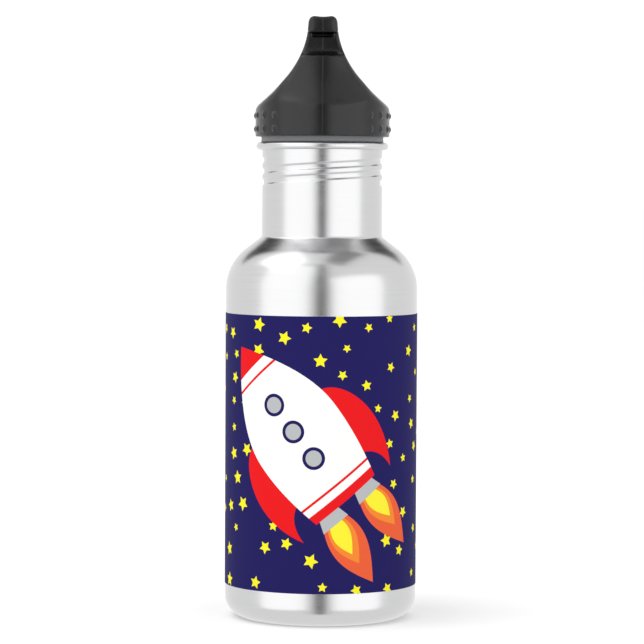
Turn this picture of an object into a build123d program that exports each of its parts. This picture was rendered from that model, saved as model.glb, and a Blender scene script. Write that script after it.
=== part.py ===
"""A single-wall steel water bottle for a child, with a printed wrap and a screw-on loop cap.

Millimetres. +Z is up, the origin is the middle of the bottle's foot on the surface it stands on,
-Y is the front of the print, and the hole of the cap's loop runs along X.
"""

import os
from math import cos, hypot, pi, radians, sin, tan

from build123d import *

os.makedirs("parts", exist_ok=True)

# --- Steel bottle -------------------------------------------------------------------------
body_r = 35.0  # outer radius of the body
steel_wall = 0.5  # sheet thickness, body and neck
foot_corner_r = 8.0  # outer radius of the corner between the body and the foot
body_top_z = 120.4  # where the straight body ends and the shoulder begins
shoulder_r = 18.4  # outer radius of the shoulder's curve
shoulder_turn = 52.4  # degrees that the shoulder curves before it runs straight to the neck
neck_r = 21.95  # outer radius of the neck
neck_corner_r = 2.0  # inside corner between the shoulder and the neck
neck_height = 34.5  # from the shoulder up to the top of the rolled lip
lip_roll_r = 1.35  # outer radius of the rolled lip's section
lip_roll_turn = 250.0  # degrees that the lip's edge is rolled

# --- Foot disc, welded into the shell ------------------------------------------------------
foot_disc_wall = 0.6
foot_ring_w = 2.0  # width of the flat ring that the bottle stands on
foot_step_w = 2.4  # width of the slope from the ring up to the dome
foot_step_h = 2.1
foot_dome_h = 3.0  # how far the middle of the disc stands above the ring

# --- Rolled thread in the neck -------------------------------------------------------------
thread_starts = 2
thread_lead = 8.0  # rise in one turn
thread_depth = 0.6  # how far the groove is rolled into the neck
thread_roll_r = 2.0  # radius of the roll that pressed the groove
thread_turns = 1.0  # length of each start
thread_below_mouth = 6.6  # from the mouth down to the upper end of the thread's centre line

# --- Printed wrap --------------------------------------------------------------------------
wrap_foot_margin = 4.5  # bare steel between the foot's corner and the wrap
wrap_shoulder_margin = 8.7  # and between the wrap and the shoulder
wrap_thickness = 0.15

# --- Cap -----------------------------------------------------------------------------------
skirt_overhang = 2.55  # how far the skirt stands out past the neck
skirt_height = 10.8
skirt_wall = 1.8
skirt_top_corner = 3.0
cap_height = 43.3  # from the skirt's lower edge to the top of the loop
loop_top_half_x = 5.2  # half the thickness of the loop's top bar
loop_top_half_y = 17.2  # half the length of the loop's top bar
loop_nose_height = 6.0  # depth of the bar's two overhanging ends
loop_notch_height = 8.4  # from the bar's ends down to the crease below each finger notch
loop_notch_depth = 4.2  # how far the notches go in
loop_slot_height = 1.5
loop_slot_half_x = 3.9  # half the width of the slot, which is closed at both sides
loop_slot_depth = 4.0
loop_hole_half_y = 10.0  # half the width of the hole at its floor
loop_hole_top_r = 8.4  # radius of the arch over the hole
loop_bar_thickness = 8.2  # from the arch up to the top of the bar
loop_hole_floor_up = 3.4  # height of the hole's floor above the skirt's upper edge
loop_hole_corner = 3.0
cap_deck = 2.2  # thickness between the cap's hollow and the outside
loop_flare_x = 2.24  # how fast the flare narrows from the skirt to the bar, from the front
loop_flare_y = 2.6  # and from the side
loop_bow = 1.5  # how much wider than the skirt the ellipse is that bows the loop's two ends
loop_corner_power = 16  # sharpness of the corners between the loop's sides and ends
loop_top_corner = 2.3
loop_saddle = 0.35
loop_nose_corner = 1.0
loop_nose_top_corner = 2.0
loop_steps = 10
bump_r = 1.25  # radius of each grip bump where it meets the skirt
bump_proud = 0.65
bump_rows_up = (2.7, 7.6)  # heights of the two rows above the skirt's lower edge
bump_columns = 7  # columns of bumps on each side
bump_pitch = 15.0  # degrees between the columns

# --- Seal and threaded plug ----------------------------------------------------------------
seal_height = 2.6
seal_overhang = 0.45  # how far the seal stands out past the neck
seal_corner_r = 0.4
seal_seat_depth = 0.6  # how far the seal sits into the cap's underside
seal_gap = 0.05  # left above the lip and under the cap, so that nothing overlaps
seal_bore_gap = 0.15
plug_clearance = 0.45  # between the plug's core and the crest of the rolled thread
plug_wall = 2.2
plug_floor = 1.8
plug_below_thread = 2.3  # from the thread's lower end down to the underside of the plug
plug_flange_h = 2.4
plug_floor_corner = 1.0
thread_root_sink = 0.3  # how far the thread's foot is sunk into the plug
thread_running_gap = 0.3  # between the plug's thread and the neck
plug_thread_root_w = 2.3
plug_thread_tip_w = 0.8
plug_thread_turns = 0.85

# --- Worked out from the sizes above --------------------------------------------------------
shoulder_end = radians(shoulder_turn)
shoulder_centre_x = body_r - shoulder_r
bore_r = neck_r - steel_wall


def neck_foot_z(inset):
    """Height at which the shoulder's straight stretch meets the neck, on a face moved in by inset."""
    arc_r = shoulder_r - inset
    run_in = shoulder_centre_x + arc_r * cos(shoulder_end) - (neck_r - inset)
    return body_top_z + arc_r * sin(shoulder_end) + run_in / tan(shoulder_end)


mouth_z = neck_foot_z(0) + neck_height
thread_bottom_z = mouth_z - thread_below_mouth - thread_lead * thread_turns
thread_path_r = neck_r + thread_roll_r - thread_depth
plug_r = bore_r - thread_depth - plug_clearance
plug_thread_height = bore_r - thread_running_gap - plug_r
plug_floor_z = thread_bottom_z - plug_below_thread
seal_outer_r = neck_r + seal_overhang
skirt_r = neck_r + skirt_overhang
skirt_z = mouth_z + seal_gap + seal_height - seal_seat_depth + seal_gap
skirt_top_z = skirt_z + skirt_height
plug_flange_z = skirt_z + seal_seat_depth
plug_flange_r = skirt_r - skirt_wall
cap_top_z = skirt_z + cap_height
loop_height = cap_height - skirt_height
nose_z = cap_top_z - loop_nose_height
crease_z = nose_z - loop_notch_height
foot_disc_r = body_r - foot_corner_r
foot_ring_r = foot_disc_r - foot_ring_w
foot_dome_r = foot_ring_r - foot_step_w


def draw_steel_face(inset):
    """Draws one face of the sheet, foot to mouth, moved in from the outside by inset."""
    foot = CenterArc((foot_disc_r, foot_corner_r), foot_corner_r - inset, 270, 90)
    Line(foot @ 1, (body_r - inset, body_top_z))
    shoulder = CenterArc((shoulder_centre_x, body_top_z), shoulder_r - inset, 0, shoulder_turn)
    FilletPolyline(
        shoulder @ 1,
        (neck_r - inset, neck_foot_z(inset)),
        (neck_r - inset, mouth_z - lip_roll_r),
        radius=neck_corner_r + inset,
    )


def rolled_thread(section_r):
    """A round bar wound along the thread's path, with ball ends, as the roll leaves it."""
    with BuildPart() as bar:
        with BuildLine() as path:
            Helix(thread_lead, thread_lead * thread_turns, thread_path_r, center=(0, 0, thread_bottom_z))
        with BuildSketch(Plane(path.line @ 0, z_dir=path.line % 0)):
            Circle(section_r)
        sweep(is_frenet=True)
        with Locations(path.line @ 0, path.line @ 1):
            Sphere(section_r)
    return bar.part


# The shell: foot corner, body, shoulder and neck in one spun piece of sheet, its edge rolled out.
with BuildPart() as bottle_shell:
    with BuildSketch(Plane.XZ):
        with BuildLine():
            draw_steel_face(0)
            draw_steel_face(steel_wall)
            Line((foot_disc_r, 0), (foot_disc_r, steel_wall))
            Line((neck_r, mouth_z - lip_roll_r), (bore_r, mouth_z - lip_roll_r))
        make_face()
        with BuildLine():
            roll_centre = (bore_r + lip_roll_r, mouth_z - lip_roll_r)
            outer_roll = CenterArc(roll_centre, lip_roll_r, 180, -lip_roll_turn)
            inner_roll = CenterArc(roll_centre, lip_roll_r - steel_wall, 180, -lip_roll_turn)
            Line(outer_roll @ 0, inner_roll @ 0)
            Line(outer_roll @ 1, inner_roll @ 1)
        make_face()
    revolve(axis=Axis.Z)

# The thread is rolled from outside: a helical groove outside, and a ridge of the same sheet inside.
with BuildPart() as thread_ridge:
    add(rolled_thread(thread_roll_r + steel_wall))
    with Locations((0, 0, thread_bottom_z + thread_lead * thread_turns / 2)):
        Cylinder(neck_r - steel_wall / 2, mouth_z - thread_bottom_z, mode=Mode.INTERSECT)

with bottle_shell:
    with PolarLocations(0, thread_starts):
        add(thread_ridge.part)
    with PolarLocations(0, thread_starts):
        add(rolled_thread(thread_roll_r), mode=Mode.SUBTRACT)
bottle_shell.part.label = "bottle_shell"
export_step(bottle_shell.part, "parts/bottle_shell.step")

# The foot disc: a flat ring to stand on, stepped up to a shallow dome, welded to the shell's edge.
with BuildPart() as base_disc:
    with BuildSketch(Plane.XZ):
        with BuildLine():
            under = Polyline((foot_disc_r, 0), (foot_ring_r, 0), (foot_dome_r, foot_step_h))
            TangentArc((0, foot_dome_h), under @ 1, tangent=(1, 0))
            over = Polyline(
                (foot_disc_r, foot_disc_wall),
                (foot_ring_r, foot_disc_wall),
                (foot_dome_r, foot_step_h + foot_disc_wall),
            )
            TangentArc((0, foot_dome_h + foot_disc_wall), over @ 1, tangent=(1, 0))
            Line((0, foot_dome_h), (0, foot_dome_h + foot_disc_wall))
            Line(under @ 0, over @ 0)
        make_face()
    revolve(axis=Axis.Z)
base_disc.part.label = "base_disc"
export_step(base_disc.part, "parts/base_disc.step")

# The wrap: a printed film round the straight body.
with BuildPart() as printed_wrap:
    with BuildSketch(Plane.XY.offset(foot_corner_r + wrap_foot_margin)):
        Circle(body_r + wrap_thickness)
        Circle(body_r, mode=Mode.SUBTRACT)
    extrude(amount=body_top_z - wrap_shoulder_margin - foot_corner_r - wrap_foot_margin)
printed_wrap.part.label = "printed_wrap"
export_step(printed_wrap.part, "parts/printed_wrap.step")

# The seal: a ring of silicone round the plug, between the lip and the cap.
with BuildPart() as seal_ring:
    with BuildSketch(Plane.XY.offset(mouth_z + seal_gap)):
        Circle(seal_outer_r)
        Circle(plug_r + seal_bore_gap, mode=Mode.SUBTRACT)
    extrude(amount=seal_height)
    fillet(seal_ring.edges().filter_by(GeomType.CIRCLE), radius=seal_corner_r)
seal_ring.part.label = "seal_ring"
export_step(seal_ring.part, "parts/seal_ring.step")

# The plug: a cup with a flange that is welded inside the skirt, and a two-start thread outside.
with BuildPart() as threaded_plug:
    with BuildSketch(Plane.XZ):
        with BuildLine():
            Polyline(
                (0, plug_floor_z),
                (plug_r, plug_floor_z),
                (plug_r, plug_flange_z),
                (plug_flange_r, plug_flange_z),
                (plug_flange_r, plug_flange_z + plug_flange_h),
                (plug_r - plug_wall, plug_flange_z + plug_flange_h),
                (plug_r - plug_wall, plug_floor_z + plug_floor),
                (0, plug_floor_z + plug_floor),
                close=True,
            )
        make_face()
    revolve(axis=Axis.Z)
    floor_edge = threaded_plug.edges().filter_by(GeomType.CIRCLE).group_by(Axis.Z)[0]
    fillet(floor_edge, radius=plug_floor_corner)

with BuildPart() as plug_thread:
    with BuildLine() as plug_thread_path:
        Helix(thread_lead, thread_lead * plug_thread_turns, plug_r, center=(0, 0, thread_bottom_z))
    ridge_plane = Plane(plug_thread_path.line @ 0, x_dir=(1, 0, 0), z_dir=plug_thread_path.line % 0)
    with BuildSketch(ridge_plane):
        with BuildLine():
            Polyline(
                (-thread_root_sink, -plug_thread_root_w / 2),
                (0, -plug_thread_root_w / 2),
                (plug_thread_height, -plug_thread_tip_w / 2),
                (plug_thread_height, plug_thread_tip_w / 2),
                (0, plug_thread_root_w / 2),
                (-thread_root_sink, plug_thread_root_w / 2),
                close=True,
            )
        make_face()
    sweep(is_frenet=True)

# Turned by half the angle between two starts, the plug's thread runs midway between the rolled ones.
with threaded_plug:
    with PolarLocations(0, thread_starts, start_angle=180 / thread_starts):
        add(plug_thread.part)
threaded_plug.part.label = "threaded_plug"
export_step(threaded_plug.part, "parts/threaded_plug.step")


def loop_section(up):
    """Half thickness and half length of the cap's level section, by height above the skirt."""
    left = max(0.0, 1 - up / loop_height)
    half_x = loop_top_half_x + (skirt_r - loop_top_half_x) * left**loop_flare_x
    half_y = loop_top_half_y + (skirt_r - loop_top_half_y) * left**loop_flare_y
    return half_x, half_y


def section_outline(up, points=56):
    """Points round a level section: an ellipse cut by two flats, its corners softly rounded."""
    half_x, half_y = loop_section(up)
    bow_x = (skirt_r + loop_bow) * max(1.0, 1 - up / loop_height) ** 2
    outline = []
    for i in range(points):
        a = 2 * pi * i / points
        x, y = half_x * cos(a), half_y * sin(a)
        between_flats = abs(x) / half_x
        within_bow = hypot(x / bow_x, y / half_y)
        grow = (between_flats**loop_corner_power + within_bow**loop_corner_power) ** (-1 / loop_corner_power)
        outline.append((x * grow, y * grow))
    return outline


# The cap: a skirt that flares into a loop, the loop's bar overhanging a finger notch at each end.
with BuildPart() as loop_cap_shell:
    for step in range(loop_steps + 1):
        up = (loop_height + skirt_height) * step / loop_steps - skirt_height
        with BuildSketch(Plane.XY.offset(skirt_top_z + up)):
            with BuildLine():
                Spline(*section_outline(up), periodic=True)
            make_face()
    loft()
    with BuildSketch(Plane.XY.offset(skirt_z)):
        Circle(skirt_r)
    extrude(amount=cap_height, mode=Mode.INTERSECT)
    level_edges = loop_cap_shell.edges().filter_by(lambda e: abs(e.center().Z - skirt_top_z) < 1)
    fillet(level_edges.sort_by(SortBy.LENGTH)[-1], radius=skirt_top_corner)
    # The bar's top: round along both sides, with a shallow hollow down the middle.
    roof_x = loop_section(loop_height - loop_top_corner)[0]
    with BuildSketch(Plane.XZ):
        with BuildLine():
            right = RadiusArc(
                (roof_x, cap_top_z - loop_top_corner),
                (roof_x - loop_top_corner, cap_top_z),
                -loop_top_corner,
            )
            left = RadiusArc(
                (loop_top_corner - roof_x, cap_top_z),
                (-roof_x, cap_top_z - loop_top_corner),
                -loop_top_corner,
            )
            ThreePointArc(right @ 1, (0, cap_top_z - loop_saddle), left @ 0)
            Polyline(
                left @ 1,
                (-skirt_r, cap_top_z - loop_top_corner),
                (-skirt_r, cap_top_z + loop_top_corner),
                (skirt_r, cap_top_z + loop_top_corner),
                (skirt_r, cap_top_z - loop_top_corner),
                right @ 0,
            )
        make_face()
    extrude(amount=skirt_r, both=True, mode=Mode.SUBTRACT)
    # The bar's overhanging ends, and under each a finger notch with a narrow slot at its top.
    nose_y = loop_top_half_y
    crease_y = loop_section(crease_z - skirt_top_z)[1]
    notch_y = crease_y - loop_notch_depth
    with BuildSketch(Plane.YZ):
        with BuildLine():
            scoop = RadiusArc(
                (crease_y, crease_z), (notch_y, crease_z + loop_notch_depth), loop_notch_depth
            )
            recess = Polyline(scoop @ 1, (notch_y, nose_z), (nose_y - loop_nose_corner, nose_z))
            nose_low = RadiusArc(
                recess @ 1, (nose_y, nose_z + loop_nose_corner), -loop_nose_corner
            )
            nose_face = Line(nose_low @ 1, (nose_y, cap_top_z - loop_nose_top_corner))
            nose_top = RadiusArc(
                nose_face @ 1, (nose_y - loop_nose_top_corner, cap_top_z), -loop_nose_top_corner
            )
            Polyline(
                nose_top @ 1,
                (nose_y - loop_nose_top_corner, cap_top_z + 1),
                (skirt_r, cap_top_z + 1),
                (skirt_r, crease_z),
                scoop @ 0,
            )
        make_face()
        mirror(about=Plane.YZ)
    extrude(amount=skirt_r, both=True, mode=Mode.SUBTRACT)
    slot_y = notch_y - loop_slot_depth / 2
    with Locations(*[(0, side * slot_y, nose_z - loop_slot_height / 2) for side in (-1, 1)]):
        Box(2 * loop_slot_half_x, loop_slot_depth, loop_slot_height, mode=Mode.SUBTRACT)
    # The loop's hole: an arch with a flat floor.
    arch_z = cap_top_z - loop_bar_thickness - loop_hole_top_r
    floor_z = skirt_top_z + loop_hole_floor_up
    with BuildSketch(Plane.YZ) as hole_section:
        with BuildLine():
            Line((-loop_hole_half_y, floor_z), (loop_hole_half_y, floor_z))
            Line((loop_hole_half_y, floor_z), (loop_hole_top_r, arch_z))
            RadiusArc((loop_hole_top_r, arch_z), (-loop_hole_top_r, arch_z), -loop_hole_top_r)
            Line((-loop_hole_top_r, arch_z), (-loop_hole_half_y, floor_z))
        make_face()
        fillet(hole_section.vertices().group_by(Axis.Z)[0], radius=loop_hole_corner)
    extrude(amount=skirt_r, both=True, mode=Mode.SUBTRACT)
    # Grip bumps on the two sides that the fingers hold.
    bump_ball_r = (bump_r**2 + bump_proud**2) / (2 * bump_proud)
    bump_centre_r = skirt_r + bump_proud - bump_ball_r
    bump_places = []
    for bump_up in bump_rows_up:
        for side in (0, 180):
            for column in range(bump_columns):
                turn = radians(side + (column - (bump_columns - 1) / 2) * bump_pitch)
                bump_places.append((bump_centre_r * cos(turn), bump_centre_r * sin(turn), skirt_z + bump_up))
    with Locations(*bump_places):
        Sphere(bump_ball_r)
    # The skirt's hollow, open below, where the plug's flange is welded in.
    with BuildSketch(Plane.XY.offset(skirt_z)):
        Circle(skirt_r - skirt_wall)
    extrude(amount=skirt_height - cap_deck, mode=Mode.SUBTRACT)
loop_cap_shell.part.label = "loop_cap_shell"
export_step(loop_cap_shell.part, "parts/loop_cap_shell.step")
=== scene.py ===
"""Looks of a child's single-wall steel water bottle with a printed wrap and a screw-on loop cap."""

import random
from math import atan2, cos, degrees, hypot, pi, radians, sin, tan

import bmesh
import bpy
import numpy as np
from bpy.props import FloatProperty, FloatVectorProperty, IntProperty, PointerProperty
from mathutils import Matrix, Vector
from mathutils.geometry import delaunay_2d_cdt


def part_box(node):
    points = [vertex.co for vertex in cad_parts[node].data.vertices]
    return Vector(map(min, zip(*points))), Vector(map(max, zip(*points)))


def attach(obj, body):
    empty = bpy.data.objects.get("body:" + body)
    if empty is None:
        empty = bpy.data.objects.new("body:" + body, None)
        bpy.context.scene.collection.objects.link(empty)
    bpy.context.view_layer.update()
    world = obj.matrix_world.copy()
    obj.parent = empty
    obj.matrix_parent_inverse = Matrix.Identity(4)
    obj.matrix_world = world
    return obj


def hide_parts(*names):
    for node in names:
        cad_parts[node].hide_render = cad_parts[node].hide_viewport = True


bl_info = {
    "name": "Steel Kids Bottle",
    "version": (1, 0, 0),
    "blender": (4, 5, 0),
    "location": "3D View > Sidebar > Bottle",
    "description": "Builds a printed steel water bottle with a screw-on loop cap",
    "category": "Object",
}

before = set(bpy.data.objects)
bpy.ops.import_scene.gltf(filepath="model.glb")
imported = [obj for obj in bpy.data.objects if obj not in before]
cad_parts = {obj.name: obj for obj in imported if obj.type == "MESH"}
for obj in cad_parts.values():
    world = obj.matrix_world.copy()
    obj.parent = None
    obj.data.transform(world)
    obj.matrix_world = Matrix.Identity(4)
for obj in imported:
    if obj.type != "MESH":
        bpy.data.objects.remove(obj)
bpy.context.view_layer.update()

MM = 0.001


def linear(code):
    """Turns an sRGB hex colour into linear red, green and blue."""
    parts = [int(code[i : i + 2], 16) / 255 for i in (0, 2, 4)]
    return tuple(c / 12.92 if c <= 0.04045 else ((c + 0.055) / 1.055) ** 2.4 for c in parts)


def length(name, description, millimetres):
    return FloatProperty(
        name=name, description=description, default=millimetres * MM, min=0.0, precision=5,
        unit="LENGTH", subtype="DISTANCE",
    )


def angle(name, description, turn):
    return FloatProperty(
        name=name, description=description, default=radians(turn), unit="ROTATION", subtype="ANGLE"
    )


def colour(name, description, code):
    return FloatVectorProperty(
        name=name, description=description, default=linear(code), size=3, min=0.0, max=1.0, subtype="COLOR"
    )


# --- Sizes and colours ------------------------------------------------------------------------
class SteelSizes(bpy.types.PropertyGroup):
    """The spun steel shell and the disc welded into its foot."""

    body_radius: length("Body radius", "Outside radius of the straight body", 35.0)
    wall: length("Wall", "Thickness of the sheet", 0.5)
    foot_corner: length("Foot corner", "Outside radius between body and foot", 8.0)
    body_top: length("Body top", "Height at which the shoulder begins", 120.4)
    shoulder_radius: length("Shoulder radius", "Outside radius of the shoulder's curve", 18.4)
    shoulder_turn: angle("Shoulder turn", "How far the shoulder curves before it runs straight", 52.4)
    neck_radius: length("Neck radius", "Outside radius of the neck", 21.95)
    neck_corner: length("Neck corner", "Radius between shoulder and neck", 2.0)
    neck_height: length("Neck height", "From the shoulder to the top of the rolled lip", 34.5)
    lip_radius: length("Lip radius", "Outside radius of the rolled lip", 1.35)
    lip_turn: angle("Lip turn", "How far the edge of the lip is rolled", 250.0)
    thread_lead: length("Thread lead", "Rise of the thread in one turn", 8.0)
    thread_depth: length("Thread depth", "How far the thread is rolled into the neck", 0.6)
    thread_below_mouth: length("Thread below mouth", "From the mouth to the thread's upper end", 6.6)
    thread_flat: length("Thread flat", "Half the width of the groove's flat bottom", 0.6)
    thread_reach: length("Thread reach", "Half the width of the groove at the neck's surface", 1.5)
    disc_wall: length("Disc wall", "Thickness of the foot disc", 0.6)
    ring_width: length("Ring width", "Width of the ring that the bottle stands on", 2.0)
    step_width: length("Step width", "Width of the slope inside the ring", 2.4)
    step_height: length("Step height", "Height of the slope inside the ring", 2.1)
    dome_height: length("Dome height", "Height of the middle of the foot disc", 3.0)
    steel: colour("Steel", "Reflected colour of the stainless steel", "CACACB")


class WrapSizes(bpy.types.PropertyGroup):
    """The printed film round the body, and the pattern on it."""

    star_count: IntProperty(
        name="Stars", description="How many stars are scattered round the film", default=150, min=0
    )
    star_seed: IntProperty(name="Star scatter", description="Which scatter of stars is drawn", default=12)
    star_smallest: length("Smallest star", "Radius of the smallest star", 1.55)
    star_largest: length("Largest star", "Radius of the largest star", 2.95)
    star_apart: length("Stars apart", "Least distance between two stars", 8.0)
    rocket_length: length("Rocket length", "From the hull's base to its nose", 67.0)
    rocket_tilt: angle("Rocket tilt", "How far the rocket leans", 38.7)
    rocket_side: length("Rocket side", "How far right of the middle the hull's base is", 8.1)
    rocket_up: length("Rocket height", "How high the middle of the hull's base is", 47.8)
    night: colour("Night blue", "Ground of the print", "201C54")
    star_yellow: colour("Star yellow", "Stars", "E4DB25")
    hull_white: colour("Hull white", "Hull of the rocket", "E4E4E2")
    trim_red: colour("Trim red", "Nose, fins and stripes", "D51A1E")
    nozzle_grey: colour("Nozzle grey", "Nozzles and window panes", "A8AAAC")
    flame_outer: colour("Outer flame", "Outer part of the flames", "D65936")
    flame_middle: colour("Middle flame", "Middle part of the flames", "DF7F31")
    flame_inner: colour("Inner flame", "Inner part of the flames", "E4DA35")


class CapSizes(bpy.types.PropertyGroup):
    """The loop cap, its threaded plug and its seal."""

    mesh_spacing: length("Mesh spacing", "Spacing of the cap's mesh", 0.3)
    most_triangles: IntProperty(
        name="Most triangles", description="The cap's mesh is thinned to this many",
        default=190000, min=1000,
    )
    edge_softness: IntProperty(
        name="Edge softness", description="How far the loop's edges are rounded", default=30, min=0
    )
    crease_width: length("Crease width", "How near the notch's crease the rounding stops", 1.4)
    seal_radius: length("Seal radius", "Outside radius of the seal", 22.4)
    seal_bore: length("Seal bore", "Inside radius of the seal", 20.55)
    seal_corner: length("Seal corner", "Radius of the seal's edges", 0.4)
    plug_radius: length("Plug radius", "Radius of the plug's core", 20.4)
    plug_wall: length("Plug wall", "Thickness of the plug's wall", 2.2)
    plug_floor: length("Plug floor", "Thickness of the plug's floor", 1.8)
    flange_radius: length("Flange radius", "Radius of the flange that is welded in the cap", 22.7)
    flange_height: length("Flange height", "Thickness of that flange", 2.4)
    plug_thread_height: length("Plug thread height", "How far the plug's thread stands out", 0.75)
    polypropylene: colour("Polypropylene", "Colour of the cap and plug", "0F0F10")
    silicone: colour("Silicone", "Colour of the seal", "747577")


class StudioSizes(bpy.types.PropertyGroup):
    """Floor, light and camera."""

    camera_distance: length("Camera distance", "From the bottle's axis to the camera", 1090.0)
    camera_side: length("Camera side", "How far right of the bottle's axis the camera is", 0.2)
    camera_height: length("Camera height", "Height of the camera", 156.3)
    camera_pitch: angle("Camera pitch", "How far the camera looks down", 2.525)
    camera_roll: angle("Camera roll", "How far the camera is turned about its view", 0.3)
    camera_lens: FloatProperty(name="Lens", description="Focal length", default=166.1, unit="CAMERA")
    room_light: FloatProperty(
        name="Room light", description="Strength of the white room's light", default=1.08, min=0.0
    )
    softbox_angle: angle("Softbox angle", "How far round from the camera the two softboxes stand", 46.0)
    softbox_power: FloatProperty(
        name="Softbox power", description="Power of a softbox for each metre of its height",
        default=4.0, unit="POWER",
    )
    overhead_power: FloatProperty(
        name="Overhead power", description="Power of the softbox above the bottle",
        default=3.4, unit="POWER",
    )
    gap_width: length("Gap width", "Width of the dark gap between the softboxes", 320.0)
    paper: colour("Paper", "Floor", "F7F7F7")
    black_cloth: colour("Black cloth", "Cloths in front and behind", "0C0C0C")
    grey_cloth: colour("Grey cloth", "Cloth high on the right", "8C8C8C")


# --- Nodes and materials ----------------------------------------------------------------------
def add_node(tree, kind, settings=None, inputs=None):
    """Adds a node. Inputs are values for its sockets, or the sockets that are linked to them."""
    node = tree.nodes.new(kind)
    for name, value in (settings or {}).items():
        setattr(node, name, value)
    for name, value in (inputs or {}).items():
        if isinstance(value, bpy.types.NodeSocket):
            tree.links.new(value, node.inputs[name])
        else:
            node.inputs[name].default_value = value
    return node


def new_material(name):
    """An empty node material and its node tree."""
    material = bpy.data.materials.new(name)
    material.use_nodes = True
    material.node_tree.nodes.clear()
    return material, material.node_tree


def noise_of(tree, place, size, detail):
    """Noise with features of about the given size."""
    return add_node(
        tree, "ShaderNodeTexNoise", inputs={"Vector": place, "Scale": 1 / size, "Detail": detail}
    ).outputs["Fac"]


def spread(tree, noise, low, high):
    """Stretches the middle part of a noise from one value to another."""
    return add_node(
        tree, "ShaderNodeMapRange",
        inputs={"Value": noise, "From Min": 0.3, "From Max": 0.7, "To Min": low, "To Max": high},
    ).outputs[0]


def scaled_by(tree, values, factor):
    """Multiplies a vector or colour by a number."""
    return add_node(
        tree, "ShaderNodeVectorMath", {"operation": "SCALE"}, {0: values, "Scale": factor}
    ).outputs[0]


def bumped(tree, height, strength, depth):
    """The normal of a surface with a fine relief."""
    return add_node(
        tree, "ShaderNodeBump", inputs={"Strength": strength, "Distance": depth, "Height": height}
    ).outputs[0]


def close_material(tree, shader):
    """Puts the finished shader on the material's output."""
    add_node(tree, "ShaderNodeOutputMaterial", inputs={"Surface": shader.outputs["BSDF"]})


def rgba(values):
    """A colour with its alpha."""
    return (*values, 1.0)


def brushed_stainless(steel):
    """Type 304 stainless, spun and brushed on the lathe: soft sheen drawn out across fine level lines."""
    material, tree = new_material("brushed_stainless_304")
    place = add_node(tree, "ShaderNodeTexCoord").outputs["Object"]
    parts = add_node(tree, "ShaderNodeSeparateXYZ", inputs={0: place})
    x, y, z = parts.outputs["X"], parts.outputs["Y"], parts.outputs["Z"]
    flat = add_node(tree, "ShaderNodeCombineXYZ", inputs={0: x, 1: y})
    radius = add_node(tree, "ShaderNodeVectorMath", {"operation": "LENGTH"}, {0: flat.outputs[0]})
    # A line keeps its height and radius, so it runs level round the bottle and in rings under the foot.
    across = add_node(tree, "ShaderNodeMath", {"operation": "ADD"}, {0: z, 1: radius.outputs["Value"]})
    # Real brush lines are about 0.05 mm wide; they are drawn 0.35 mm wide and 30 mm long to show.
    line_length, line_width = 30.0 * MM, 0.35 * MM
    brushed = add_node(tree, "ShaderNodeCombineXYZ", inputs={0: x, 1: y, 2: across.outputs[0]})
    stretched = add_node(
        tree, "ShaderNodeVectorMath", {"operation": "MULTIPLY"},
        {0: brushed.outputs[0], 1: (1 / line_length, 1 / line_length, 1 / line_width)},
    )
    lines = noise_of(tree, stretched.outputs[0], 1.0, 4.0)
    around = add_node(tree, "ShaderNodeTangent", {"direction_type": "RADIAL", "axis": "Z"})
    shader = add_node(
        tree, "ShaderNodeBsdfPrincipled",
        inputs={
            "Base Color": scaled_by(tree, steel, spread(tree, lines, 0.965, 1.0)), "Metallic": 1.0,
            "Roughness": spread(tree, lines, 0.21, 0.26), "Anisotropic": 0.35,
            "Normal": bumped(tree, lines, 0.04, 0.02 * MM), "Tangent": around.outputs[0],
        },
    )
    close_material(tree, shader)
    return material


def printed_film(name, ink):
    """Vinyl film printed with solid ink under a matt laminate: an even colour with hardly any shine."""
    material, tree = new_material(name)
    place = add_node(tree, "ShaderNodeTexCoord").outputs["Object"]
    # Print grain is about 0.1 mm; it is drawn at 0.5 mm so that it shows.
    grain = noise_of(tree, place, 0.5 * MM, 2.0)
    shader = add_node(
        tree, "ShaderNodeBsdfPrincipled",
        inputs={
            "Base Color": scaled_by(tree, ink, spread(tree, grain, 0.97, 1.0)),
            "Roughness": spread(tree, grain, 0.5, 0.6), "IOR": 1.49, "Specular IOR Level": 0.03,
        },
    )
    close_material(tree, shader)
    return material


def moulded_polypropylene(tint):
    """Injection-moulded black polypropylene: a waxy grey sheen, with the mould's fine parting line."""
    material, tree = new_material("moulded_polypropylene_black")
    place = add_node(tree, "ShaderNodeTexCoord").outputs["Object"]
    # The tool was spark-eroded: a grain of about 0.15 mm, drawn at 0.4 mm.
    grain = noise_of(tree, place, 0.4 * MM, 3.0)
    clouds = noise_of(tree, place, 9.0 * MM, 2.0)
    parts = add_node(tree, "ShaderNodeSeparateXYZ", inputs={0: place})
    side = add_node(tree, "ShaderNodeMath", {"operation": "ABSOLUTE"}, {0: parts.outputs["X"]})
    # The parting line fades out 0.25 mm to each side of the middle.
    parting = add_node(
        tree, "ShaderNodeMapRange", {"interpolation_type": "SMOOTHSTEP"},
        {
            "Value": side.outputs[0], "From Min": 0.05 * MM, "From Max": 0.25 * MM,
            "To Min": 1.0, "To Max": 0.0,
        },
    )
    height = add_node(
        tree, "ShaderNodeMath", {"operation": "MULTIPLY_ADD"}, {0: parting.outputs[0], 1: 2.0, 2: grain}
    )
    shader = add_node(
        tree, "ShaderNodeBsdfPrincipled",
        inputs={
            "Base Color": rgba(tint), "Roughness": spread(tree, clouds, 0.23, 0.3), "IOR": 1.49,
            "Specular IOR Level": 0.42, "Normal": bumped(tree, height.outputs[0], 0.25, 0.05 * MM),
        },
    )
    close_material(tree, shader)
    return material


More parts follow.
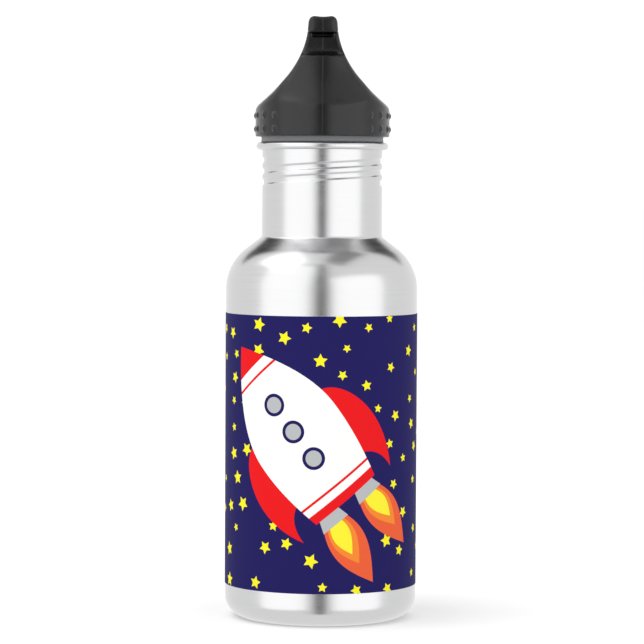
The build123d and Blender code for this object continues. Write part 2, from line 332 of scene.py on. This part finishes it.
def moulded_silicone(tint):
    """Food-grade silicone rubber, compression moulded: satin, with an uneven dusty bloom."""
    material, tree = new_material("moulded_silicone_grey")
    place = add_node(tree, "ShaderNodeTexCoord").outputs["Object"]
    # The bloom lies in patches of about 3 mm.
    bloom = noise_of(tree, place, 3.0 * MM, 4.0)
    shader = add_node(
        tree, "ShaderNodeBsdfPrincipled",
        inputs={
            "Base Color": scaled_by(tree, tint, spread(tree, bloom, 0.93, 1.0)), "Roughness": 0.5,
            "IOR": 1.41, "Sheen Weight": 0.1, "Normal": bumped(tree, bloom, 0.1, 0.05 * MM),
        },
    )
    close_material(tree, shader)
    return material


def plain_matt(name, tint):
    """Studio paper or cloth: even and without shine."""
    material, tree = new_material(name)
    shader = add_node(
        tree, "ShaderNodeBsdfPrincipled",
        inputs={"Base Color": rgba(tint), "Roughness": 0.95, "Specular IOR Level": 0.0},
    )
    close_material(tree, shader)
    return material


# --- Modelling --------------------------------------------------------------------------------
def clear_selection():
    """Puts every object out of the way of the next operator."""
    for piece in bpy.context.selected_objects:
        piece.select_set(False)


def take(piece):
    """Makes one piece the only one selected."""
    clear_selection()
    piece.select_set(True)
    bpy.context.view_layer.objects.active = piece


def apply_modifier(piece, kind, **settings):
    """Adds a modifier and applies it at once."""
    take(piece)
    modifier = piece.modifiers.new(kind.title(), kind)
    for name, value in settings.items():
        setattr(modifier, name, value)
    bpy.ops.object.modifier_apply(modifier=modifier.name)


def arc(centre, radius, start, turn, steps):
    """Points along an arc of a profile; the angles are in degrees."""
    turns = [radians(start + turn * i / steps) for i in range(steps + 1)]
    return [(centre[0] + radius * cos(a), centre[1] + radius * sin(a)) for a in turns]


def rows(radius, low, high, spacing):
    """Points up a straight wall of a profile."""
    count = max(1, round((high - low) / spacing))
    return [(radius, low + (high - low) * i / count) for i in range(count + 1)]


def turn_profile(name, profile, steps, closed=True):
    """Draws a profile by extruding a point, and spins it once round the upright axis."""
    clear_selection()
    bpy.ops.mesh.primitive_plane_add(size=MM)
    piece = bpy.context.object
    piece.name = piece.data.name = name
    bpy.ops.object.mode_set(mode="EDIT")
    bpy.ops.mesh.select_mode(type="VERT")
    bpy.ops.mesh.select_all(action="SELECT")
    bpy.ops.mesh.merge(type="CENTER")
    bpy.ops.transform.translate(value=(profile[0][0], 0, profile[0][1]))
    around = profile + profile[:1] if closed else profile
    for (r0, z0), (r1, z1) in zip(around, around[1:]):
        bpy.ops.mesh.extrude_vertices_move(TRANSFORM_OT_translate={"value": (r1 - r0, 0, z1 - z0)})
    bpy.ops.mesh.select_all(action="SELECT")
    bpy.ops.mesh.remove_doubles(threshold=0.001 * MM)
    bpy.ops.mesh.select_all(action="SELECT")
    bpy.ops.mesh.spin(steps=steps, angle=2 * pi, center=(0, 0, 0), axis=(0, 0, 1))
    bpy.ops.mesh.select_all(action="SELECT")
    bpy.ops.mesh.remove_doubles(threshold=0.001 * MM)
    bpy.ops.mesh.delete_loose()
    bpy.ops.mesh.select_all(action="SELECT")
    bpy.ops.mesh.normals_make_consistent(inside=False)
    bpy.ops.object.mode_set(mode="OBJECT")
    turn_outwards(piece)
    return piece


def turn_outwards(piece):
    """Turns a closed piece right side out if its faces point inwards."""
    solid = bmesh.new()
    solid.from_mesh(piece.data)
    inside_out = solid.calc_volume(signed=True) < 0
    solid.free()
    if inside_out:
        take(piece)
        bpy.ops.object.mode_set(mode="EDIT")
        bpy.ops.mesh.select_all(action="SELECT")
        bpy.ops.mesh.flip_normals()
        bpy.ops.object.mode_set(mode="OBJECT")


def smooth_by_angle(piece, limit):
    """Shades a piece smooth, apart from edges sharper than a limit in degrees."""
    take(piece)
    bpy.ops.object.shade_smooth_by_angle(angle=radians(limit))


def soft_step(value):
    """Rises smoothly from 0 to 1 between 0 and 1."""
    held = np.clip(value, 0.0, 1.0)
    return held * held * (3 - 2 * held)


def points_of(piece):
    """The places of a piece's points, one row each."""
    points = np.empty(len(piece.data.vertices) * 3)
    piece.data.vertices.foreach_get("co", points)
    return points.reshape(-1, 3)


def set_points(piece, points):
    """Moves a piece's points to new places."""
    piece.data.vertices.foreach_set("co", points.ravel())
    piece.data.update()


def wind_thread(piece, radii, depth, first, turns, lead, bottom, flat, reach, fade):
    """Presses a two-start thread into, or raises it from, the walls at the given radii.

    No operator follows a helix round a wall, so the points of the turned wall are moved by formula.
    """
    on_wall = 0.005 * MM
    points = points_of(piece)
    from_axis = np.hypot(points[:, 0], points[:, 1])
    azimuth = np.arctan2(points[:, 1], points[:, 0])
    lift = np.zeros(len(points))
    for start in (0.0, pi):
        for lap in (-1, 0, 1):
            run = (azimuth - first - start) % (2 * pi) + 2 * pi * lap
            off = np.abs(points[:, 2] - bottom - lead * run / (2 * pi))
            to_end = np.minimum(run, 2 * pi * turns - run)
            ends = soft_step((to_end + fade) / fade)
            lift = np.maximum(lift, soft_step((reach - off) / (reach - flat)) * ends)
    for radius in radii:
        wall = np.abs(from_axis - radius) < on_wall
        points[wall, :2] *= ((radius + depth * lift[wall]) / from_axis[wall])[:, None]
    set_points(piece, points)


def hand_over(piece, body, slot, node, *materials):
    """Gives a finished piece its materials and its place in the frame."""
    for i, material in enumerate(materials):
        if i < len(piece.data.materials):
            piece.data.materials[i] = material
        else:
            piece.data.materials.append(material)
    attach(piece, body)
    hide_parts(node)


def steel_face(s, inset):
    """One face of the sheet from the foot to the neck, moved in from the outside by inset."""
    turn = s.shoulder_turn
    centre = s.body_radius - s.shoulder_radius
    neck = s.neck_radius - inset
    curve = s.shoulder_radius - inset
    run_in = centre + curve * cos(turn) - neck
    neck_foot = s.body_top + curve * sin(turn) + run_in / tan(turn)
    corner = s.neck_corner + inset
    corner_middle = (neck + corner, neck_foot + corner * tan(turn / 2))
    return (
        arc((s.body_radius - s.foot_corner, s.foot_corner), s.foot_corner - inset, -90, 90, 12)
        + arc((centre, s.body_top), curve, 0, degrees(turn), 18)
        + arc(corner_middle, corner, 180 + degrees(turn), -degrees(turn), 8)
    )


def mouth_height(s):
    """Height of the top of the rolled lip."""
    turn = s.shoulder_turn
    run_in = s.body_radius - s.shoulder_radius * (1 - cos(turn)) - s.neck_radius
    return s.body_top + s.shoulder_radius * sin(turn) + run_in / tan(turn) + s.neck_height


def thread_foot(s):
    """Height of the lower end of the neck's thread, which makes one turn."""
    return mouth_height(s) - s.thread_below_mouth - s.thread_lead


def steel_profile(s):
    """The whole section of the shell: outside, rolled lip and inside."""
    mouth = mouth_height(s)
    bore = s.neck_radius - s.wall
    # The wall has close rows of points along the thread and a little past both of its ends.
    past, spacing = 2.6 * MM, 0.24 * MM
    thread_low = thread_foot(s) - past
    thread_top = thread_foot(s) + s.thread_lead + past
    roll = (bore + s.lip_radius, mouth - s.lip_radius)
    turn = degrees(s.lip_turn)
    return (
        steel_face(s, 0.0)
        + rows(s.neck_radius, thread_low, thread_top, spacing)
        + arc(roll, s.lip_radius - s.wall, 180, -turn, 14)
        + arc(roll, s.lip_radius, 180 - turn, turn, 20)
        + rows(bore, thread_low, thread_top, spacing)[::-1]
        + steel_face(s, s.wall)[::-1]
    )


class BOTTLE_OT_shell(bpy.types.Operator):
    """Turn the steel shell, with its rolled lip and rolled thread"""

    bl_idname = "bottle.shell"
    bl_label = "Steel shell"

    def execute(self, context):
        s = context.scene.bottle_steel
        shell = turn_profile("steel_shell", steel_profile(s), steps=288)
        wind_thread(
            shell, (s.neck_radius, s.neck_radius - s.wall), -s.thread_depth, first=0.0, turns=1.0,
            lead=s.thread_lead, bottom=thread_foot(s), flat=s.thread_flat, reach=s.thread_reach,
            fade=radians(26),
        )
        smooth_by_angle(shell, 50)
        hand_over(shell, "bottle", "brushed_stainless", "bottle_shell", brushed_stainless(s.steel))
        return {"FINISHED"}


class BOTTLE_OT_foot_disc(bpy.types.Operator):
    """Turn the stepped and domed disc that closes the foot"""

    bl_idname = "bottle.foot_disc"
    bl_label = "Foot disc"

    def execute(self, context):
        s = context.scene.bottle_steel
        edge = s.body_radius - s.foot_corner
        ring = edge - s.ring_width
        dome = ring - s.step_width
        rise = s.dome_height - s.step_height
        sphere = (dome**2 + rise**2) / (2 * rise)
        span = degrees(atan2(dome, sphere - rise))
        under = [(edge, 0.0), (ring, 0.0)] + arc(
            (0.0, s.dome_height - sphere), sphere, 90 - span, span, 16
        )
        over = [(r, z + s.disc_wall) for r, z in under]
        disc = turn_profile("foot_disc", under + over[::-1], steps=192)
        apply_modifier(
            disc, "BEVEL", width=0.5 * MM, segments=4, limit_method="ANGLE", angle_limit=radians(20)
        )
        smooth_by_angle(disc, 30)
        hand_over(
            disc, "bottle", "brushed_stainless", "base_disc", bpy.data.materials["brushed_stainless_304"]
        )
        return {"FINISHED"}


# --- The print --------------------------------------------------------------------------------
# The film's inks, in the order of its material slots.
INKS = (
    "night", "star_yellow", "flame_outer", "flame_middle", "flame_inner",
    "nozzle_grey", "trim_red", "hull_white",
)


def star_outline(middle, radius, turn):
    """A plump five-pointed star."""
    outline = []
    for i in range(10):
        reach = radius if i % 2 == 0 else radius * 0.5
        a = turn + pi / 2 + pi * i / 5
        outline.append((middle[0] + reach * cos(a), middle[1] + reach * sin(a)))
    return outline


def scatter_stars(w, half, low, high):
    """Stars laid at random round the film, none of them touching.

    A star that crosses the seam is drawn at both edges of the film.
    """
    chance = random.Random(w.star_seed)
    places = []
    for _ in range(6000):
        if len(places) == w.star_count:
            break
        at = (chance.uniform(-half, half), chance.uniform(low, high))
        size = w.star_smallest + (w.star_largest - w.star_smallest) * chance.random() ** 1.4
        turn = chance.uniform(0, 2 * pi)
        gaps = [
            hypot(min(abs(at[0] - p[0]), 2 * half - abs(at[0] - p[0])), at[1] - p[1])
            for p, _, _ in places
        ]
        if all(gap > w.star_apart for gap in gaps):
            places.append((at, size, turn))
    shapes = []
    for at, size, turn in places:
        for shift in (-2 * half, 0.0, 2 * half):
            if abs(at[0] + shift) < half + w.star_largest:
                shapes.append(("star_yellow", star_outline((at[0] + shift, at[1]), size, turn)))
    return shapes


def bend(points, steps):
    """Points along a curve from the first to the last of four points, without the last."""
    curve = []
    for i in range(steps):
        t = i / steps
        weights = ((1 - t) ** 3, 3 * (1 - t) ** 2 * t, 3 * (1 - t) * t * t, t**3)
        curve.append(tuple(sum(k * p[axis] for k, p in zip(weights, points)) for axis in (0, 1)))
    return curve


# The rocket is drawn in millimetres: u runs up from the hull's base and v across it.
HULL_LENGTH = 67.0
HULL_WIDEST = 29.0
HULL_HALF = 18.0
HULL_BASE = -2.2


def hull_half(u):
    """Half the width of the rocket's hull."""
    if u > HULL_WIDEST:
        to_nose = (HULL_LENGTH - u) / (HULL_LENGTH - HULL_WIDEST)
        return HULL_HALF * (1 - (1 - to_nose) ** 1.9)
    return HULL_HALF - 4 * ((HULL_WIDEST - u) / 31) ** 1.7


def hull_band(low, high, steps):
    """The part of the hull between two distances up from its base."""
    heights = [low + (high - low) * i / steps for i in range(steps + 1)]
    right = [(u, hull_half(u)) for u in heights]
    return right + [(u, -v) for u, v in right[::-1] if v > 0.01]


def flame(side, width, end):
    """A pointed flame below one nozzle, leaning a little outwards."""
    start, middle, lean = -6.3, 8.4, 2.0
    steps = 18
    edge = []
    for i in range(steps + 1):
        t = i / steps
        edge.append(
            (start + (end - start) * t, width * sin(pi * (0.27 + 0.73 * t)), middle + lean * t)
        )
    outer = [(u, side * (at + v)) for u, v, at in edge]
    inner = [(u, side * (at - v)) for u, v, at in edge[:-1]]
    return outer + inner[::-1]


def rocket_shapes(w):
    """A rocket of plain shapes, drawn upright about the middle of its hull's base and then leant over."""
    shapes = []
    for side in (-1, 1):
        for ink, width, end in (
            ("flame_outer", 7.0, -32.0), ("flame_middle", 4.9, -23.0), ("flame_inner", 3.5, -18.7)
        ):
            shapes.append((ink, flame(side, width, end)))
        nozzle = ((-1.0, 4.2), (-1.0, 12.0), (-6.5, 14.0), (-6.5, 2.8))
        fin = bend([(35, 16.4), (33.5, 26.5), (13, 32), (-4.5, 21.6)], 20)
        fin += bend([(-4.5, 21.6), (1.5, 21.6), (5.5, 19.5), (7.5, 15.0)], 8)
        fin += [(u, hull_half(u) - 1.0) for u in (7.5, 14, 21, 28, 34)]
        for ink, outline in (("nozzle_grey", nozzle), ("trim_red", fin)):
            shapes.append((ink, [(u, side * v) for u, v in outline]))
    shapes.append(("hull_white", hull_band(HULL_BASE, HULL_LENGTH - 0.2, 44)))
    for low, high, steps in (
        (57.5, HULL_LENGTH - 0.1, 10), (53.1, 54.0, 2), (4.0, 4.9, 2), (HULL_BASE, 1.2, 3)
    ):
        shapes.append(("trim_red", hull_band(low, high, steps)))
    for up in (41.0, 29.0, 17.0):
        for ink, radius in (("night", 4.1), ("nozzle_grey", 2.9)):
            turns = [2 * pi * i / 36 for i in range(36)]
            shapes.append((ink, [(up + radius * sin(a), radius * cos(a)) for a in turns]))
    scale = w.rocket_length / HULL_LENGTH
    across, along = cos(w.rocket_tilt), sin(w.rocket_tilt)
    return [
        (
            ink,
            [
                (
                    w.rocket_side + scale * (v * across - u * along),
                    w.rocket_up + scale * (u * across + v * along),
                )
                for u, v in outline
            ],
        )
        for ink, outline in shapes
    ]


def cut_print(shapes, half, low, high, columns, levels):
    """Cuts the flat film along every outline and along a grid, and finds the ink of each face."""
    points, faces, edges = [], [], []
    for _, outline in shapes:
        turn = sum(a[0] * b[1] - b[0] * a[1] for a, b in zip(outline, outline[1:] + outline[:1]))
        if turn < 0:  # the cutter takes what lies left of an outline as its inside
            outline = outline[::-1]
        first = len(points)
        points += [Vector(p) for p in outline]
        faces.append(list(range(first, first + len(outline))))
    for i in range(columns + 1):
        side = -half + 2 * half * i / columns
        edges.append((len(points), len(points) + 1))
        points += [Vector((side, low)), Vector((side, high))]
    for i in range(levels + 1):
        level = low + (high - low) * i / levels
        edges.append((len(points), len(points) + 1))
        points += [Vector((-half, level)), Vector((half, level))]
    cut = delaunay_2d_cdt(points, edges, faces, 0, 1e-8)
    kept, inks = [], []
    for face, owners in zip(cut[2], cut[5]):
        middle = sum((cut[0][i] for i in face), Vector((0, 0))) / len(face)
        if abs(middle.x) < half and low < middle.y < high:
            kept.append(face)
            inks.append(INKS.index(shapes[max(owners)][0]) if owners else 0)
    return cut[0], kept, inks


class BOTTLE_OT_wrap(bpy.types.Operator):
    """Cut the printed film in the flat, and wrap it round the body"""

    bl_idname = "bottle.wrap"
    bl_label = "Printed wrap"

    def execute(self, context):
        w = context.scene.bottle_wrap
        low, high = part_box("printed_wrap")
        inner = context.scene.bottle_steel.body_radius
        outer = high.x
        half = pi * outer
        shapes = scatter_stars(w, half, low.z, high.z)
        # The rocket's outlines are in the order in which their inks are laid down.
        shapes += rocket_shapes(w)
        points, faces, inks = cut_print(shapes, half, low.z, high.z, columns=192, levels=10)
        mesh = bpy.data.meshes.new("print_film")
        # No operator cuts a sheet along drawn outlines without a window, so the cut sheet is built at once.
        mesh.from_pydata(
            [(outer * sin(p.x / outer), -outer * cos(p.x / outer), p.y) for p in points], [], faces
        )
        film = bpy.data.objects.new("print_film", mesh)
        context.collection.objects.link(film)
        for ink in INKS:
            mesh.materials.append(printed_film(f"printed_vinyl_{ink}", getattr(w, ink)))
        mesh.polygons.foreach_set("material_index", inks)
        # The bake map is the flat sheet itself, with a strip above it for the inner wall and the rims.
        sheet = mesh.uv_layers.new(name="OFBake")
        for loop in mesh.loops:
            p = points[loop.vertex_index]
            sheet.data[loop.index].uv = (
                0.5 + 0.49 * p.x / half, 0.01 + 0.93 * (p.y - low.z) / (high.z - low.z)
            )
        take(film)
        bpy.ops.object.mode_set(mode="EDIT")
        bpy.ops.mesh.select_all(action="SELECT")
        bpy.ops.mesh.delete_loose()
        bpy.ops.mesh.select_all(action="SELECT")
        bpy.ops.mesh.remove_doubles(threshold=0.001 * MM)
        bpy.ops.mesh.select_mode(type="EDGE")
        bpy.ops.mesh.select_all(action="DESELECT")
        bpy.ops.mesh.select_non_manifold(
            extend=False, use_wire=False, use_boundary=True,
            use_multi_face=False, use_non_contiguous=False, use_verts=False,
        )
        bpy.ops.mesh.extrude_edges_move()
        bpy.ops.transform.resize(value=(inner / outer, inner / outer, 1), center_override=(0, 0, 0))
        bpy.ops.mesh.bridge_edge_loops()
        bpy.ops.object.mode_set(mode="OBJECT")
        unwrap_back(film, inner, outer, low.z, high.z)
        turn_outwards(film)
        smooth_by_angle(film, 30)
        hand_over(film, "bottle", "printed_film", "printed_wrap")
        return {"FINISHED"}


def unwrap_back(film, inner, outer, low, high):
    """Lays the inner wall and the rims in the strip above the sheet, all in the ground's ink."""
    mesh = film.data
    sheet = mesh.uv_layers["OFBake"]
    middle = (inner + outer) / 2
    for face in mesh.polygons:
        corners = [mesh.vertices[i].co for i in face.vertices]
        if all(hypot(c.x, c.y) > middle for c in corners):
            continue
        face.material_index = 0
        turn = atan2(face.center.x, -face.center.y)
        for loop in face.loop_indices:
            c = mesh.vertices[mesh.loops[loop].vertex_index].co
            at = atan2(c.x, -c.y)
            at += 2 * pi * round((turn - at) / (2 * pi))
            sheet.data[loop].uv = (0.5 + 0.49 * at / pi, 0.96 + 0.03 * (c.z - low) / (high - low))


# --- Seal, plug and cap -----------------------------------------------------------------------
class BOTTLE_OT_seal(bpy.types.Operator):
    """Turn the silicone ring that lies between the lip and the cap"""

    bl_idname = "bottle.seal"
    bl_label = "Seal"

    def execute(self, context):
        c = context.scene.bottle_cap
        low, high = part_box("seal_ring")
        bulge = 0.12 * MM  # the ring's sides are a little hollow, as it comes out of its mould
        middle = (low.z + high.z) / 2
        section = [
            (c.seal_bore, low.z), (c.seal_radius, low.z), (c.seal_radius - bulge, middle),
            (c.seal_radius, high.z), (c.seal_bore, high.z),
        ]
        ring = turn_profile("silicone_seal", section, steps=192)
        apply_modifier(
            ring, "BEVEL", width=c.seal_corner, segments=4, limit_method="ANGLE", angle_limit=radians(40)
        )
        smooth_by_angle(ring, 40)
        hand_over(ring, "seal", "grey_silicone", "seal_ring", moulded_silicone(c.silicone))
        return {"FINISHED"}


class BOTTLE_OT_plug(bpy.types.Operator):
    """Turn the plug that hangs in the neck, and raise its two-start thread"""

    bl_idname = "bottle.plug"
    bl_label = "Threaded plug"

    def execute(self, context):
        c, s = context.scene.bottle_cap, context.scene.bottle_steel
        low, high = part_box("threaded_plug")
        flange = high.z - c.flange_height
        inside = c.plug_radius - c.plug_wall
        corner = 1.0 * MM
        # The wall has close rows of points from its corner to a little past the thread's upper end.
        thread_low, thread_top = thread_foot(s), thread_foot(s) + s.thread_lead
        section = (
            [(0.0, low.z)]
            + arc((c.plug_radius - corner, low.z + corner), corner, -90, 90, 8)
            + rows(c.plug_radius, low.z + corner + 0.2 * MM, thread_top + 1.4 * MM, 0.25 * MM)
            + [
                (c.plug_radius, flange), (c.flange_radius, flange), (c.flange_radius, high.z),
                (inside, high.z), (inside, low.z + c.plug_floor), (0.0, low.z + c.plug_floor),
            ]
        )
        plug = turn_profile("cap_plug", section, steps=240, closed=False)
        wind_thread(
            plug, (c.plug_radius,), c.plug_thread_height, first=pi / 2, turns=0.85, lead=s.thread_lead,
            bottom=thread_low, flat=0.4 * MM, reach=1.15 * MM, fade=radians(9),
        )
        smooth_by_angle(plug, 45)
        hand_over(
            plug, "cap", "black_polypropylene", "threaded_plug",
            bpy.data.materials["moulded_polypropylene_black"],
        )
        return {"FINISHED"}


class BOTTLE_OT_loop_cap(bpy.types.Operator):
    """Shape the cap from its solid, and round its edges as a mould does"""

    bl_idname = "bottle.loop_cap"
    bl_label = "Loop cap"

    def execute(self, context):
        c = context.scene.bottle_cap
        cap = bpy.data.objects.new("loop_cap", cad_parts["loop_cap_shell"].data.copy())
        cap.data.name = "loop_cap"
        cap.data.materials.clear()
        context.collection.objects.link(cap)
        take(cap)
        bpy.ops.object.mode_set(mode="EDIT")
        bpy.ops.mesh.select_all(action="SELECT")
        bpy.ops.mesh.remove_doubles(threshold=0.001 * MM)
        bpy.ops.object.mode_set(mode="OBJECT")
        apply_modifier(cap, "REMESH", mode="VOXEL", voxel_size=c.mesh_spacing, adaptivity=0.0)
        weigh_softness(cap, c)
        apply_modifier(cap, "SMOOTH", factor=0.5, iterations=c.edge_softness, vertex_group="soft")
        apply_modifier(cap, "SMOOTH", factor=0.5, iterations=4, vertex_group="even")
        cap.vertex_groups.clear()
        triangles = sum(len(face.vertices) - 2 for face in cap.data.polygons)
        if triangles > c.most_triangles:
            apply_modifier(cap, "DECIMATE", ratio=c.most_triangles / triangles)
        turn_outwards(cap)
        smooth_by_angle(cap, 60)
        hand_over(
            cap, "cap", "black_polypropylene", "loop_cap_shell", moulded_polypropylene(c.polypropylene)
        )
        return {"FINISHED"}


def weigh_softness(cap, c):
    """Marks how far each part of the loop is rounded; the notches' creases and slots stay sharp."""
    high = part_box("loop_cap_shell")[1]
    points = points_of(cap)
    x, y, down = np.abs(points[:, 0]), np.abs(points[:, 1]), high.z - points[:, 2]
    bump_x_share = 1.1  # the grip bumps lie where y is less than this share of x
    # The rounding reaches lower at the two ends, where there are no grip bumps.
    ends = soft_step((y - bump_x_share * x) / (4.0 * MM))
    reach = (32.5 + 5.5 * ends) * MM
    weight = soft_step((reach - down) / (2.5 * MM))
    crease_y, crease_down, crease_half = 18.0 * MM, 14.4 * MM, 7.2 * MM
    from_crease = np.hypot(y - crease_y, down - crease_down)
    inside = soft_step((crease_half - x) / (1.5 * MM))
    weight *= 1 - inside * (1 - soft_step(from_crease / c.crease_width - 0.3))
    slot_y, slot_down = 8.0 * MM, 6.75 * MM
    in_slot = (y > slot_y) & (np.abs(down - slot_down) < 1.2 * MM) & (x < 4.4 * MM)
    weight[in_slot] *= 0.06
    bumps = (down > 32.0 * MM) & (y < bump_x_share * x)
    even = np.where(bumps | in_slot, 0.3, 1.0)
    for name, weights in (("soft", weight), ("even", even)):
        group = cap.vertex_groups.new(name=name)
        levels = np.round(weights * 10).astype(int)
        for level in range(1, 11):
            group.add(np.flatnonzero(levels == level).tolist(), level / 10, "REPLACE")


# --- Studio -----------------------------------------------------------------------------------
def hang_cloth(name, size, lean, turn, middle):
    """A flat cloth hung across the view, leant over the bottle and turned about the upright axis."""
    clear_selection()
    bpy.ops.mesh.primitive_plane_add(size=1.0)
    cloth = bpy.context.object
    cloth.name = cloth.data.name = name
    bpy.ops.object.mode_set(mode="EDIT")
    bpy.ops.mesh.select_all(action="SELECT")
    bpy.ops.transform.resize(value=(*size, 1))
    # Without a window this operator turns the other way round, so both angles have their signs changed.
    bpy.ops.transform.rotate(value=lean - radians(90), orient_axis="X", center_override=(0, 0, 0))
    bpy.ops.transform.rotate(value=-turn, orient_axis="Z", center_override=(0, 0, 0))
    bpy.ops.transform.translate(value=middle)
    bpy.ops.object.mode_set(mode="OBJECT")
    return cloth


def hang_softbox(name, place, turn, size, power):
    """A rectangular light that the camera doesn't see."""
    clear_selection()
    bpy.ops.object.light_add(type="AREA", location=place, rotation=turn)
    softbox = bpy.context.object
    softbox.name = name
    softbox.data.shape = "RECTANGLE"
    softbox.data.size, softbox.data.size_y = size
    softbox.data.energy = power
    softbox.visible_camera = False


class BOTTLE_OT_studio(bpy.types.Operator):
    """Lay the pale floor and set the soft light and the camera"""

    bl_idname = "bottle.studio"
    bl_label = "Studio"

    def execute(self, context):
        t = context.scene.bottle_studio
        clear_selection()
        bpy.ops.mesh.primitive_plane_add(size=60.0)
        floor = context.object
        floor.name = floor.data.name = "studio_floor"
        floor.data.materials.append(plain_matt("studio_paper", t.paper))
        # The steel's foot shows the lights and not the floor, as on a table with an open front.
        floor.visible_glossy = False
        clear_selection()
        # A dark strip behind the camera draws the dark line down the middle of the steel. One cloth
        # behind the bottle and one high on the right darken the shoulder. Only shiny surfaces see them.
        cloths = (
            hang_cloth("dark_strip", (t.gap_width, 4.1), 0.0, 0.0, (0.0, -1.3, 0.55)),
            hang_cloth("dark_back", (3.2, 1.9), 0.0, 0.0, (0.0, 1.6, 1.95)),
            hang_cloth("grey_right", (1.1, 0.5), radians(69), radians(82), (0.37, -0.11, 1.43)),
        )
        for cloth, tint in zip(cloths, (t.black_cloth, t.black_cloth, t.grey_cloth)):
            cloth.data.materials.append(plain_matt(cloth.name, tint))
            cloth.visible_camera = cloth.visible_diffuse = cloth.visible_shadow = False
        distance, width, tilt = 1.6, 2.0, radians(82)
        for name, side, tall, middle in (
            ("softbox_left", -1, 3.4, 0.7), ("softbox_right", 1, 2.05, 0.02)
        ):
            turn = side * t.softbox_angle
            place = (distance * sin(turn), -distance * cos(turn), middle)
            hang_softbox(name, place, (tilt, 0, turn), (width, tall), t.softbox_power * tall)
        hang_softbox(
            "softbox_overhead", (-0.8, -0.1, 1.42), (0, radians(-32), 0), (1.0, 1.0), t.overhead_power
        )
        world = bpy.data.worlds.new("white_room")
        world.use_nodes = True
        world.node_tree.nodes.clear()
        light = add_node(
            world.node_tree, "ShaderNodeBackground",
            inputs={"Color": rgba((1, 1, 1)), "Strength": t.room_light},
        )
        add_node(world.node_tree, "ShaderNodeOutputWorld", inputs={"Surface": light.outputs[0]})
        context.scene.world = world
        context.scene.view_settings.view_transform = "Standard"
        clear_selection()
        level = Matrix.Rotation(radians(90) - t.camera_pitch, 3, "X")
        view = level @ Matrix.Rotation(t.camera_roll, 3, "Z")
        bpy.ops.object.camera_add(
            location=(t.camera_side, -t.camera_distance, t.camera_height), rotation=view.to_euler()
        )
        camera = context.object
        camera.data.lens = t.camera_lens
        camera.data.sensor_width = 36.0
        camera.data.clip_start, camera.data.clip_end = 0.01, 100.0
        context.scene.camera = camera
        return {"FINISHED"}


class BOTTLE_PT_panel(bpy.types.Panel):
    """Sizes and colours of the bottle, and the buttons that make its pieces"""

    bl_idname = "BOTTLE_PT_panel"
    bl_label = "Steel Bottle"
    bl_space_type = "VIEW_3D"
    bl_region_type = "UI"
    bl_category = "Bottle"

    def draw(self, context):
        for title, group, operators in SECTIONS:
            box = self.layout.box()
            box.label(text=title)
            for name in getattr(context.scene, group).bl_rna.properties.keys():
                if name not in ("rna_type", "name"):
                    box.prop(getattr(context.scene, group), name)
            for operator in operators:
                box.operator(operator.bl_idname)


SECTIONS = (
    ("Steel", "bottle_steel", (BOTTLE_OT_shell, BOTTLE_OT_foot_disc)),
    ("Print", "bottle_wrap", (BOTTLE_OT_wrap,)),
    ("Cap", "bottle_cap", (BOTTLE_OT_seal, BOTTLE_OT_loop_cap, BOTTLE_OT_plug)),
    ("Studio", "bottle_studio", (BOTTLE_OT_studio,)),
)
GROUPS = {
    "bottle_steel": SteelSizes,
    "bottle_wrap": WrapSizes,
    "bottle_cap": CapSizes,
    "bottle_studio": StudioSizes,
}


def register():
    for group, sizes in GROUPS.items():
        bpy.utils.register_class(sizes)
        setattr(bpy.types.Scene, group, PointerProperty(type=sizes))
    for _, _, operators in SECTIONS:
        for operator in operators:
            bpy.utils.register_class(operator)
    bpy.utils.register_class(BOTTLE_PT_panel)


def unregister():
    bpy.utils.unregister_class(BOTTLE_PT_panel)
    for _, _, operators in SECTIONS[::-1]:
        for operator in operators[::-1]:
            bpy.utils.unregister_class(operator)
    for group, sizes in GROUPS.items():
        delattr(bpy.types.Scene, group)
        bpy.utils.unregister_class(sizes)


def main():
    register()
    for operator in (
        bpy.ops.bottle.shell, bpy.ops.bottle.foot_disc, bpy.ops.bottle.wrap, bpy.ops.bottle.seal,
        bpy.ops.bottle.loop_cap, bpy.ops.bottle.plug, bpy.ops.bottle.studio,
    ):
        operator()


if __name__ == "__main__":
    main()
